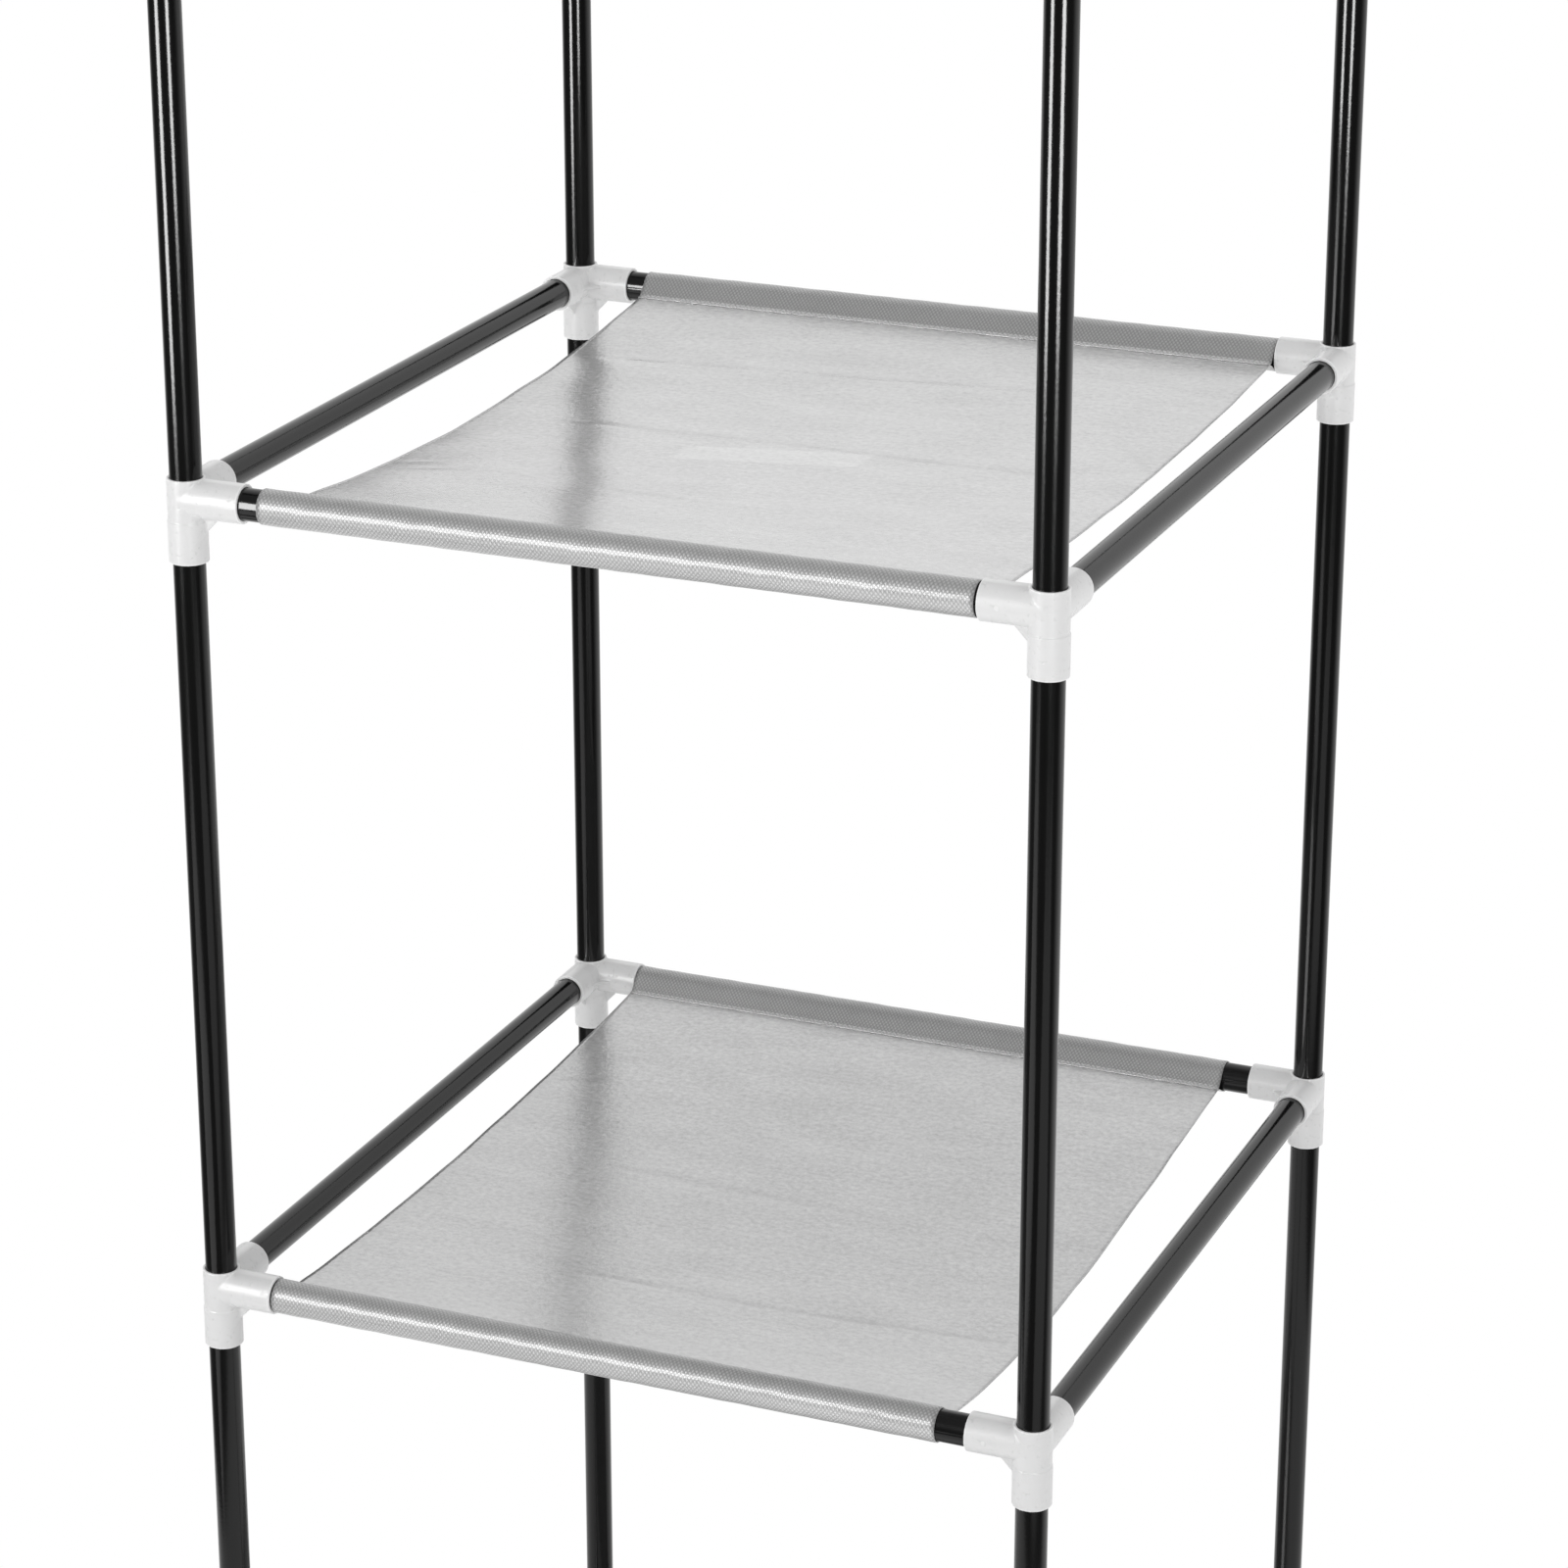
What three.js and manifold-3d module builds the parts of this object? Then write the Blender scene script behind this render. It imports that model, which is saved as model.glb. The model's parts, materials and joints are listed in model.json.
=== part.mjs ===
// Portable wardrobe frame, in millimetres: +Z up, the front towards -Y, standing on z = 0.
// One column of push-fit steel tubes and moulded corner connectors carries three slung
// fabric shelves, with a two-tier hanging bay and a clothes rail above them.

import * as THREE from 'three';
import { mergeVertices } from 'three/addons/utils/BufferGeometryUtils.js';
import Module from 'manifold-3d';

const wasm = await Module();
wasm.setup();

// Driving sizes

const frame = {
  postSpacingX: 440,
  postSpacingY: 448,
  shelfPitch: 420,
};

const tube = {
  radius: 8,
  wall: 0.7,
};

const fit = {
  clearance: 0.3,
  stopThickness: 1.2,
};

const connector = {
  hubWall: 1.2,
  armWall: 1.5,
  socketWall: 1.5,
  rootInset: 0.2,
  rimRise: 0.2,
  stopDrop: 11.5,
  socketInsertion: 20,
  armInsertion: 22.5,
  webLeg: 7.5,
  webThickness: 1.6,
};

const foot = {
  drop: 36,
  flare: 3,
  thickness: 4,
  chamfer: 1,
};

const cap = {
  height: 2.4,
  inset: 1.8,
};

const coupler = {
  insertion: 22,
};

const shelf = {
  fabric: 0.6,
  sleeveClearance: 0.3,
  seamReach: 13,
  seamDrop: 2.5,
  seamAllowance: 3,
};

// Each shelf: how far it can slide, where it starts as a share of that, how far its panel
// hangs below the seams at the left and right edge, and how far its lowest line leans
// towards the front there.
const slings = {
  base: {
    slack: 12, startShare: 0, sagLeft: 9.5, sagRight: 10, leanLeftShare: 0, leanRightShare: 0,
  },
  lower: {
    slack: 15, startShare: -0.5, sagLeft: 7, sagRight: 13.5, leanLeftShare: 0.1, leanRightShare: 0.5,
  },
  upper: {
    slack: 10, startShare: 0.5, sagLeft: 13.5, sagRight: 7, leanLeftShare: 0, leanRightShare: 0,
  },
};

// Mesh counts

const tubeSides = 12;
const sleeveSides = 16;
const panelSteps = 14;
const widthSteps = 5;

// Sizes that follow from the driving ones

const boreRadius = tube.radius + fit.clearance;
const hubRadius = boreRadius + connector.hubWall;
const armRadius = boreRadius + connector.armWall;
const socketRadius = boreRadius + connector.socketWall;
const rimHeight = armRadius + connector.rimRise;
const halfStop = fit.stopThickness / 2;
const socketRim = -connector.stopDrop - halfStop - connector.socketInsertion;
const armStop = boreRadius + fit.stopThickness;
const armReach = armStop + connector.armInsertion;

const level = { base: foot.drop };
level.lower = level.base + frame.shelfPitch;
level.upper = level.lower + frame.shelfPitch;
level.coupler = level.upper + frame.shelfPitch - connector.stopDrop;
level.top = level.upper + frame.shelfPitch + frame.shelfPitch;

const postX = frame.postSpacingX / 2;
const postY = frame.postSpacingY / 2;

// Corners of the column, and the quarter turns that point the arms of a connector inwards

const corners = [
  { name: 'front_left', x: -postX, y: -postY, quarterTurns: 0 },
  { name: 'front_right', x: postX, y: -postY, quarterTurns: 1 },
  { name: 'back_right', x: postX, y: postY, quarterTurns: 2 },
  { name: 'back_left', x: -postX, y: postY, quarterTurns: 3 },
];

const finishes = {
  tube: new THREE.MeshStandardMaterial({ color: 0x0c0c0d, roughness: 0.22, metalness: 0.1 }),
  plastic: new THREE.MeshStandardMaterial({ color: 0xe6e6e4, roughness: 0.38, metalness: 0 }),
  fabric: new THREE.MeshStandardMaterial({ color: 0xc6c6c6, roughness: 0.5, metalness: 0 }),
};

const wardrobe = new THREE.Group();
wardrobe.name = 'portable_wardrobe';

// Solids

// Corners are merged, and the triangles that collapse on a lathe's axis are left out.
function weld(geometry) {
  geometry.deleteAttribute('normal');
  geometry.deleteAttribute('uv');
  const welded = mergeVertices(geometry);
  const kept = [];
  for (let i = 0; i < welded.index.count; i += 3) {
    const [a, b, c] = [0, 1, 2].map((corner) => welded.index.getX(i + corner));
    if (a !== b && b !== c && c !== a) kept.push(a, b, c);
  }
  welded.setIndex(kept);
  return welded;
}

function toSolid(geometry) {
  const welded = weld(geometry);
  return new wasm.Manifold(new wasm.Mesh({
    numProp: 3,
    vertProperties: new Float32Array(welded.attributes.position.array),
    triVerts: new Uint32Array(welded.index.array),
  }));
}

function toGeometry(solid) {
  const { vertProperties, triVerts } = solid.getMesh();
  const geometry = new THREE.BufferGeometry();
  geometry.setAttribute('position', new THREE.BufferAttribute(vertProperties, 3));
  geometry.setIndex(new THREE.BufferAttribute(triVerts, 1));
  geometry.computeVertexNormals();
  return geometry;
}

// A turned shape about Z. The outline lists [radius, height] pairs, and it starts and
// ends on the axis or closes on itself.
function turned(outline) {
  const points = outline.map(([radius, height]) => new THREE.Vector2(radius, height));
  return new THREE.LatheGeometry(points, tubeSides).rotateX(Math.PI / 2);
}

function rod(radius, from, to) {
  return turned([[0, from], [radius, from], [radius, to], [0, to]]);
}

const alongX = (geometry) => geometry.rotateY(Math.PI / 2);
const alongY = (geometry) => geometry.rotateX(-Math.PI / 2);

// A flat plate of the web's thickness, centred on the XY plane
function plate(outline) {
  const shape = new THREE.Shape(outline.map(([x, y]) => new THREE.Vector2(x, y)));
  const plateGeometry = new THREE.ExtrudeGeometry(shape, {
    depth: connector.webThickness,
    bevelEnabled: false,
  });
  return plateGeometry.translate(0, 0, -connector.webThickness / 2);
}

function place(name, geometry, finish, x, y, z, quarterTurns = 0) {
  const mesh = new THREE.Mesh(geometry, finish);
  mesh.name = name;
  mesh.position.set(x, y, z);
  mesh.rotation.z = quarterTurns * Math.PI / 2;
  wardrobe.add(mesh);
}

// Tubes: open-ended steel pipes, each centred on its own middle

function pipe(length) {
  const inner = tube.radius - tube.wall;
  const half = length / 2;
  const wall = [[inner, -half], [tube.radius, -half], [tube.radius, half], [inner, half], [inner, -half]];
  return weld(turned(wall));
}

// Corner connectors. The origin is where the three tube axes meet, and the arms point
// along +X and +Y, with the long socket hanging below them.

// An arm widens from its root in the hub to the socket.
function armRod() {
  const root = hubRadius - connector.rootInset;
  return turned([[0, 0], [root, 0], [armRadius, armStop], [armRadius, armReach], [0, armReach]]);
}

const arms = toSolid(alongX(armRod())).add(toSolid(alongY(armRod())));
const armBores = toSolid(alongX(rod(boreRadius, armStop, armReach + fit.clearance)))
  .add(toSolid(alongY(rod(boreRadius, armStop, armReach + fit.clearance))));
const hubBore = toSolid(rod(boreRadius, halfStop - connector.stopDrop, rimHeight + fit.clearance));
const socketBore = toSolid(
  rod(boreRadius, socketRim - fit.clearance, -connector.stopDrop - halfStop));

// Thin webs fill the corner under each arm and the corner between the arms.
function gussets() {
  const reach = hubRadius + connector.webLeg;
  const depth = armRadius + connector.webLeg;
  const under = [[0, 0], [reach, 0], [reach, -armRadius], [socketRadius, -depth], [0, -depth]];
  const between = [[0, 0], [reach, 0], [reach, armRadius], [armRadius, reach], [0, reach]];
  const underX = toSolid(plate(under).rotateX(Math.PI / 2));
  const underY = toSolid(plate(under).rotateX(Math.PI / 2).rotateZ(Math.PI / 2));
  return underX.add(underY).add(toSolid(plate(between)));
}

const webs = gussets();

function fourWayConnector() {
  const column = toSolid(turned([
    [0, socketRim],
    [socketRadius, socketRim],
    [socketRadius, -connector.stopDrop],
    [hubRadius, -connector.stopDrop],
    [hubRadius, rimHeight],
    [0, rimHeight],
  ]));
  const body = column.add(arms).add(webs);
  return toGeometry(body.subtract(armBores).subtract(hubBore).subtract(socketBore));
}

// The top connector has the same long socket, and its hub is closed by a shallow cap.
function topConnector() {
  const column = toSolid(turned([
    [0, socketRim],
    [socketRadius, socketRim],
    [socketRadius, -connector.stopDrop],
    [hubRadius, -connector.stopDrop],
    [hubRadius, rimHeight],
    [hubRadius - cap.inset, rimHeight + cap.height],
    [0, rimHeight + cap.height],
  ]));
  const body = column.add(arms).add(webs);
  return toGeometry(body.subtract(armBores).subtract(socketBore));
}

// The foot connector stands on a flared disc in place of the long socket.
function footConnector() {
  const flareRadius = socketRadius + foot.flare;
  const column = toSolid(turned([
    [0, -foot.drop],
    [flareRadius - foot.chamfer, -foot.drop],
    [flareRadius, foot.chamfer - foot.drop],
    [flareRadius, foot.thickness - foot.drop],
    [socketRadius, foot.thickness + foot.flare - foot.drop],
    [socketRadius, -connector.stopDrop],
    [hubRadius, -connector.stopDrop],
    [hubRadius, rimHeight],
    [0, rimHeight],
  ]));
  const body = column.add(arms).add(webs);
  return toGeometry(body.subtract(armBores).subtract(hubBore));
}

// Straight coupler: a sleeve with a stop in the middle, which joins two posts
function postCoupler() {
  const half = halfStop + coupler.insertion;
  const bore = toSolid(rod(boreRadius, halfStop, half + fit.clearance))
    .add(toSolid(rod(boreRadius, -half - fit.clearance, -halfStop)));
  return toGeometry(toSolid(rod(socketRadius, -half, half)).subtract(bore));
}

// Tee: a sleeve along Y that joins the two halves of a top side rail, with an arm along
// +X for the clothes rail
function railTee() {
  const half = halfStop + coupler.insertion;
  const sleeve = toSolid(alongY(rod(hubRadius, -half, half)));
  const arm = toSolid(alongX(armRod()));
  const armBore = toSolid(alongX(rod(boreRadius, armStop, armReach + fit.clearance)));
  const frontBore = toSolid(alongY(rod(boreRadius, -half - fit.clearance, -halfStop)));
  const backBore = toSolid(alongY(rod(boreRadius, halfStop, half + fit.clearance)));
  return toGeometry(sleeve.add(arm).subtract(armBore).subtract(frontBore).subtract(backBore));
}

// Slung shelf: one sheet whose front and back edges are sewn into sleeves round the rails

// The points of a sleeve's section, from the upper side of its tail round the rail to
// the lower side. The outline is a teardrop drawn out to a tail at [reach, drop].
function teardrop(radius, reach, drop) {
  const tailAngle = Math.atan2(drop, reach);
  const opening = Math.acos(radius / Math.hypot(reach, drop));
  const start = tailAngle + opening;
  const sweep = 2 * Math.PI - 2 * opening;
  const circleRadius = radius / Math.cos(sweep / sleeveSides / 2);
  const points = [];
  for (let i = 0; i <= sleeveSides; i += 1) {
    const angle = start + sweep * i / sleeveSides;
    points.push([circleRadius * Math.cos(angle), circleRadius * Math.sin(angle)]);
  }
  return points;
}

// The section of a shelf: its points, and the panes between the two faces of the fabric
// that fill it, each an anticlockwise loop of point numbers seen from +X. Panes close the
// ends of the swept shelf with short triangles.
function shelfSection() {
  const sleeveBore = tube.radius + shelf.sleeveClearance;
  const halfFabric = shelf.fabric / 2;
  const boreReach = shelf.seamReach - shelf.seamAllowance;
  const seamY = postY - shelf.seamReach;
  const outer = teardrop(sleeveBore + shelf.fabric, shelf.seamReach, -shelf.seamDrop);
  const inner = teardrop(sleeveBore, boreReach, -shelf.seamDrop);

  const points = [];
  const panes = [];
  const addPoint = (y, z) => points.push([y, z]) - 1;
  const addPane = (...loop) => {
    const doubleArea = loop.reduce((sum, from, i) => {
      const [[y0, z0], [y1, z1]] = [points[from], points[loop[(i + 1) % loop.length]]];
      return sum + y0 * z1 - y1 * z0;
    }, 0);
    panes.push(doubleArea > 0 ? loop : loop.reverse());
  };

  const panel = [];
  for (let i = 0; i <= panelSteps; i += 1) {
    const y = seamY * (2 * i / panelSteps - 1);
    panel.push([addPoint(y, halfFabric - shelf.seamDrop), addPoint(y, -halfFabric - shelf.seamDrop)]);
    if (i > 0) addPane(panel[i - 1][0], panel[i - 1][1], panel[i][1], panel[i][0]);
  }

  for (const [side, [top, under]] of [[-1, panel[0]], [1, panel[panelSteps]]]) {
    const wall = outer.map(([reach, rise], i) => [
      addPoint(side * (postY - reach), rise),
      addPoint(side * (postY - inner[i][0]), inner[i][1]),
    ]);
    const tail = addPoint(side * (postY - boreReach), -shelf.seamDrop);
    for (let i = 0; i < sleeveSides; i += 1) {
      addPane(wall[i][0], wall[i][1], wall[i + 1][1], wall[i + 1][0]);
    }
    addPane(wall[0][0], wall[0][1], tail, top);
    addPane(tail, wall[sleeveSides][1], wall[sleeveSides][0], under);
    addPane(tail, under, top);
  }
  return { points, panes };
}

// The edges that only one pane has, which run round the section's outline and its bores.
function outlineEdges(panes) {
  const edges = new Map();
  for (const loop of panes) {
    loop.forEach((from, i) => {
      const to = loop[(i + 1) % loop.length];
      if (!edges.delete(`${to} ${from}`)) edges.set(`${from} ${to}`, [from, to]);
    });
  }
  return [...edges.values()];
}

const shelfSpace = frame.postSpacingX - 2 * armReach;

// The section is swept along X, and each point of the panel drops by the sling's sag.
function slungShelf(sling) {
  const { points, panes } = shelfSection();
  const shelfWidth = shelfSpace - 2 * fit.clearance - sling.slack;
  const seamY = postY - shelf.seamReach;
  const positions = [];
  for (let step = 0; step <= widthSteps; step += 1) {
    const along = step / widthSteps;
    const sag = THREE.MathUtils.lerp(sling.sagLeft, sling.sagRight, along);
    const lean = THREE.MathUtils.lerp(sling.leanLeftShare, sling.leanRightShare, along);
    for (const [y, z] of points) {
      const across = THREE.MathUtils.clamp(0.5 + y / seamY / 2, 0, 1);
      const drop = sag * 4 * across * (1 - across) * (1 + lean * (1 - 2 * across));
      positions.push(shelfWidth * (along - 0.5), y, z - drop);
    }
  }

  const triangles = [];
  const lastStation = widthSteps * points.length;
  for (const [first, ...rest] of panes) {
    for (let i = 1; i < rest.length; i += 1) {
      triangles.push(lastStation + first, lastStation + rest[i - 1], lastStation + rest[i]);
      triangles.push(first, rest[i], rest[i - 1]);
    }
  }
  for (const [from, to] of outlineEdges(panes)) {
    for (let step = 0; step < widthSteps; step += 1) {
      const here = step * points.length;
      const next = here + points.length;
      triangles.push(here + from, here + to, next + to, here + from, next + to, next + from);
    }
  }

  const geometry = new THREE.BufferGeometry();
  geometry.setAttribute('position', new THREE.Float32BufferAttribute(positions, 3));
  geometry.setIndex(triangles);
  return geometry;
}

// Assembly

const tiers = [
  { name: 'tier1', from: level.base - connector.stopDrop, to: level.lower - connector.stopDrop },
  { name: 'tier2', from: level.lower - connector.stopDrop, to: level.upper - connector.stopDrop },
  { name: 'tier3', from: level.upper - connector.stopDrop, to: level.coupler },
  { name: 'tier4', from: level.coupler, to: level.top - connector.stopDrop },
];

const endGap = halfStop + fit.clearance;
const footShape = footConnector();
const fourWayShape = fourWayConnector();
const topShape = topConnector();
const couplerShape = postCoupler();

for (const { name, x, y, quarterTurns } of corners) {
  place(`foot_connector_${name}`, footShape, finishes.plastic, x, y, level.base, quarterTurns);
  place(`connector_lower_${name}`, fourWayShape, finishes.plastic, x, y, level.lower, quarterTurns);
  place(`connector_upper_${name}`, fourWayShape, finishes.plastic, x, y, level.upper, quarterTurns);
  place(`post_coupler_${name}`, couplerShape, finishes.plastic, x, y, level.coupler, quarterTurns);
  place(`connector_top_${name}`, topShape, finishes.plastic, x, y, level.top, quarterTurns);
  for (const { name: tier, from, to } of tiers) {
    const post = pipe(to - from - 2 * endGap);
    place(`post_${tier}_${name}`, post, finishes.tube, x, y, (from + to) / 2);
  }
}

// A connector's arm stops the tube at armStop, and a clearance is left there.
const railInset = armStop + fit.clearance;
const crossRail = alongX(pipe(frame.postSpacingX - 2 * railInset));
const sideRail = alongY(pipe(frame.postSpacingY - 2 * railInset));
const halfRailLength = postY - railInset - endGap;
const halfRail = alongY(pipe(halfRailLength));
const halfRailY = endGap + halfRailLength / 2;

for (const name of ['base', 'lower', 'upper', 'top']) {
  place(`cross_rail_${name}_front`, crossRail, finishes.tube, 0, -postY, level[name]);
  place(`cross_rail_${name}_back`, crossRail, finishes.tube, 0, postY, level[name]);
}
for (const name of ['base', 'lower', 'upper']) {
  place(`side_rail_${name}_left`, sideRail, finishes.tube, -postX, 0, level[name]);
  place(`side_rail_${name}_right`, sideRail, finishes.tube, postX, 0, level[name]);
}

const teeShape = railTee();
for (const { name, x, quarterTurns } of [
  { name: 'left', x: -postX, quarterTurns: 0 },
  { name: 'right', x: postX, quarterTurns: 2 },
]) {
  place(`rail_tee_${name}`, teeShape, finishes.plastic, x, 0, level.top, quarterTurns);
  place(`side_rail_top_${name}_front`, halfRail, finishes.tube, x, -halfRailY, level.top);
  place(`side_rail_top_${name}_back`, halfRail, finishes.tube, x, halfRailY, level.top);
}
place('clothes_rail', crossRail, finishes.tube, 0, 0, level.top);

for (const [name, sling] of Object.entries(slings)) {
  const x = sling.startShare * sling.slack;
  place(`shelf_${name}`, slungShelf(sling), finishes.fabric, x, 0, level[name]);
}

export default wardrobe;
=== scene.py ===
# %% [markdown]
# # A push-fit wardrobe frame with slung fabric shelves
#
# The wardrobe is a tall column of steel tubes. Sixteen white moulded connectors, four couplers
# and two tees join the tubes, and three loose fabric shelves hang on the cross rails in sewn
# sleeves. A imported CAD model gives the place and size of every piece. This file dresses it: each
# piece is built again, in metres and in the same place, with the roundness, the sewing and the
# finish that the CAD leaves out.

# %% Load the frame and keep its box
import json
import math

import bmesh
import bpy
import numpy as np
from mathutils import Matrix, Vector

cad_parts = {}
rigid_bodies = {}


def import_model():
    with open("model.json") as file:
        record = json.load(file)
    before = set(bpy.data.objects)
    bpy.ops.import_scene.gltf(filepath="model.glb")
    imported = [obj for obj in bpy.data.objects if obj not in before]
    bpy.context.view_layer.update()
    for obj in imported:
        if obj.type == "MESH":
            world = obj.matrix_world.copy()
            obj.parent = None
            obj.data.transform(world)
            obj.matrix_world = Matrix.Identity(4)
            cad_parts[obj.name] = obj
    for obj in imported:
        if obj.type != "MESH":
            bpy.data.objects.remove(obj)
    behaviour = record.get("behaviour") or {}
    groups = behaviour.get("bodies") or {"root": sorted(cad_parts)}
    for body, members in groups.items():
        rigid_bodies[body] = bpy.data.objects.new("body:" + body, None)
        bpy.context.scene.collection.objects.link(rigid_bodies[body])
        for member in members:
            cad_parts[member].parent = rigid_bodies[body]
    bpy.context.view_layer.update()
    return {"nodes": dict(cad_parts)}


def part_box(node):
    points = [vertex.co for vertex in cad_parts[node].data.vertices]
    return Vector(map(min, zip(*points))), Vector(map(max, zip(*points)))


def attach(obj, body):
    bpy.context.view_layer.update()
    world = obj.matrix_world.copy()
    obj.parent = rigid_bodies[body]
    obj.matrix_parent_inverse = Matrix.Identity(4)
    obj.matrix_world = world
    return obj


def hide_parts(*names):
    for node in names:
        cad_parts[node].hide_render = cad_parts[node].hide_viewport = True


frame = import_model()
MM = 0.001
scene = bpy.context.scene

# %% [markdown]
# ## The camera
#
# The picture is a close view of the two middle levels, taken from above the right front corner
# with a long lens. A camera could be placed by eye, but straight tubes make a good ruler: the
# place, turn and lens below are the ones at which the eight corner connectors and the posts fall
# nearest to where the photograph has them.

# %% Place the camera
PICTURE = 1600        # pixels
SENSOR = 36           # millimetres
FOCAL_PIXELS = 4933.8
CAMERA_PLACE = Vector((0.9034, -2.1653, 1.5576))
TURN_LEFT = math.radians(22.707)
TILT_DOWN = math.radians(20.437)


def linked(name, data):
    """A new object in the scene."""
    piece = bpy.data.objects.new(name, data)
    scene.collection.objects.link(piece)
    return piece


camera = linked("picture camera", bpy.data.cameras.new("picture camera"))
camera.data.sensor_width = SENSOR
camera.data.lens = SENSOR * FOCAL_PIXELS / PICTURE
camera.location = CAMERA_PLACE
camera.rotation_euler = (math.pi / 2 - TILT_DOWN, 0, TURN_LEFT)
scene.camera = camera
print("lens:", round(camera.data.lens, 2), "mm")

# %% [markdown]
# ## Sizes
#
# One table holds the sizes that several pieces share, in millimetres. They are the CAD's own,
# so a rail fits the bore of its connector and a sleeve fits its rail.

# %% Shared sizes
TUBE = 8.0            # outer radius of every tube
TUBE_WALL = 0.7
BORE = 8.3            # sockets, arms and couplers inside, in the CAD
SNUG = 8.06           # the same bores as dressed: a push fit shows no gap
HUB = 9.5             # connector's body round the post
SOCKET = 9.8          # lower socket, arms and couplers outside
RIM = 10.0            # upper rim above the rails' axis
STOP = -11.5          # inner step between the two posts
HALF_STOP = 0.6       # half of its height
SOCKET_DEPTH, ARM_DEPTH, JOINER_DEPTH = 20.0, 22.5, 22.0      # how far a tube goes in
SOCKET_RIM = STOP - HALF_STOP - SOCKET_DEPTH
ARM_STOP = BORE + 2 * HALF_STOP
ARM = ARM_STOP + ARM_DEPTH      # mouth of an arm, from the post's axis
HALF_JOINER = HALF_STOP + JOINER_DEPTH      # half a coupler, or half a tee's barrel
POST_X, POST_Y = 220.0, 224.0
LEVELS = {"base": 36.0, "lower": 456.0, "upper": 876.0, "coupler": 1284.5, "top": 1716.0}
CORNERS = {"front_left": (-1, -1, 0), "front_right": (1, -1, 1),
           "back_right": (1, 1, 2), "back_left": (-1, 1, 3)}
print("arm mouth", ARM, "socket rim", SOCKET_RIM)


# %% One way to make every mesh piece
def mesh_object(name, points, faces, finish):
    """Points in millimetres become a smooth mesh object in metres with one finish."""
    mesh = bpy.data.meshes.new(name)
    mesh.from_pydata((np.asarray(points) * MM).tolist(), [], np.asarray(faces).tolist())
    mesh.shade_smooth()
    mesh.materials.append(finish)
    return linked(name, mesh)


def store(mesh, name, values):
    """Keeps a number or a vector at every point, for the finish to read."""
    kind, field = ("FLOAT_VECTOR", "vector") if values.ndim == 2 else ("FLOAT", "value")
    mesh.attributes.new(name, kind, "POINT").data.foreach_set(field, values.ravel())


def seat(piece, body, slot, *nodes):
    """The piece rides on its body and stands for these CAD nodes, which it hides. The slot is not
    used.
    """
    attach(piece, body)
    if nodes:
        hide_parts(*nodes)


# %% [markdown]
# ## Writing finishes as sums
#
# A procedural finish is a web of nodes. Placing fifty nodes by hand in a script is hard to read,
# so a small class wraps an output socket and lets it be added and multiplied like a number, and
# one function makes any node by name.

# %% A small language for finishes
def operator(operation, swapped=False):
    """A method that adds a Math node; swapped puts the other value first, as in 1 - mask."""
    def method(self, other):
        return self.finish.math(operation, *((other, self) if swapped else (self, other)))
    return method


class Field:
    """A value that varies over a surface."""

    def __init__(self, finish, socket):
        self.finish, self.socket = finish, socket

    __add__, __radd__ = operator("ADD"), operator("ADD", True)
    __sub__, __rsub__ = operator("SUBTRACT"), operator("SUBTRACT", True)
    __mul__, __rmul__ = operator("MULTIPLY"), operator("MULTIPLY", True)
    __truediv__, __pow__ = operator("DIVIDE"), operator("POWER")

    def clamped(self):
        field = self * 1.0
        field.socket.node.use_clamp = True
        return field


def feed(tree, socket, value):
    """Links a field or another socket to a socket, or sets its value."""
    if isinstance(value, Field):
        value = value.socket
    if isinstance(value, bpy.types.NodeSocket):
        tree.links.new(value, socket)
    else:
        socket.default_value = value


def add_node(tree, kind, inputs=None, **settings):
    """A node of any type, with its settings first and then its inputs."""
    node = tree.nodes.new(kind)
    for key, value in settings.items():
        setattr(node, key, value)
    for key, value in (inputs or {}).items():
        feed(tree, node.inputs[key], value)
    return node


class Finish:
    """A material, built node by node."""

    def __init__(self, name, **constants):
        self.material = bpy.data.materials.new(name)
        self.material.use_nodes = True
        self.tree = self.material.node_tree
        self.shader = self.tree.nodes["Principled BSDF"]
        self.use(**constants)

    def node(self, kind, output=0, inputs=None, **settings):
        return Field(self, add_node(self.tree, kind, inputs, **settings).outputs[output])

    def math(self, operation, *values):
        return self.node("ShaderNodeMath", inputs=dict(enumerate(values)), operation=operation)

    def stored(self, name, output="Fac"):
        """A number or a vector that the mesh keeps at its points."""
        return self.node("ShaderNodeAttribute", output, attribute_name=name)

    def noise(self, place, scale, detail=2.0, roughness=0.5, stretch=(1, 1, 1)):
        """Soft random values, squeezed or stretched along the axes of place."""
        moved = self.node("ShaderNodeMapping", inputs={"Vector": place, "Scale": stretch})
        return self.node("ShaderNodeTexNoise", inputs={
            "Vector": moved, "Scale": scale, "Detail": detail, "Roughness": roughness})

    def axes(self, place):
        """The three parts of a place."""
        split = add_node(self.tree, "ShaderNodeSeparateXYZ", {"Vector": place})
        return [Field(self, socket) for socket in split.outputs]

    def grey(self, value):
        """A neutral colour from one brightness."""
        return self.node("ShaderNodeCombineColor", inputs={0: value, 1: value, 2: value})

    def use(self, **fields):
        for socket, field in fields.items():
            feed(self.tree, self.shader.inputs[socket.replace("_", " ")], field)

    def bump(self, height, distance):
        """Relief from heights in metres times distance."""
        return self.node("ShaderNodeBump", inputs={"Height": height, "Distance": distance})


print("finish language ready")
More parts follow.
